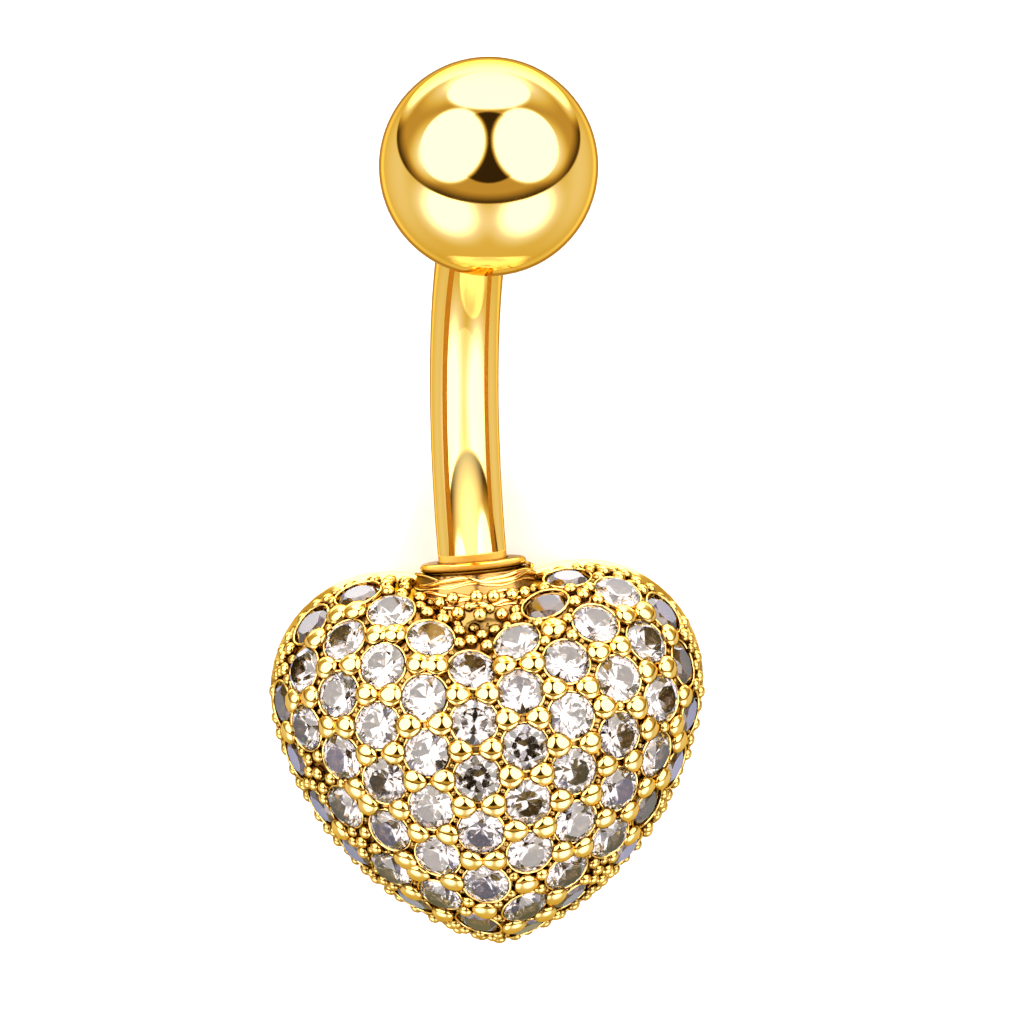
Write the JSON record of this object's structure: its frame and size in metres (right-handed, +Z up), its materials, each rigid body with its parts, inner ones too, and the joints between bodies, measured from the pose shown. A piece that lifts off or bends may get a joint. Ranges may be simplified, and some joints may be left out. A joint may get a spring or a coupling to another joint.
{
  "type": "navel ring with a paved heart",
  "caption": "Gold-coloured navel ring: a bent bar with a screw-on ball above and a puffed heart paved with clear stones below.",
  "frame": {"origin": "bottom centre of the box round the whole piece as it lies on its back, on the floor", "axes": "+Z up, +Y from the heart's tip towards the ball, +X to the right when the paved front is seen with the ball above"},
  "size_m": [0.0102, 0.0226, 0.0068],
  "materials": {
    "polished_gold": "polished yellow gold plate",
    "cast_gold": "bright cast beads and seats, gold plated",
    "clear_stone": "clear, round brilliant cut"
  },
  "bodies": {
    "heart": {"heart_front": "cast_gold", "heart_back": "polished_gold", "collar": "polished_gold", "bar": "polished_gold"},
    "ball": {"ball": "polished_gold"}
  },
  "joints": [
    {"name": "ball_unscrew", "type": "slide", "parent": "heart", "child": "ball", "axis": [0.1378, 0.7704, 0.6225], "range_m": [0, 0.0025]}
  ]
}
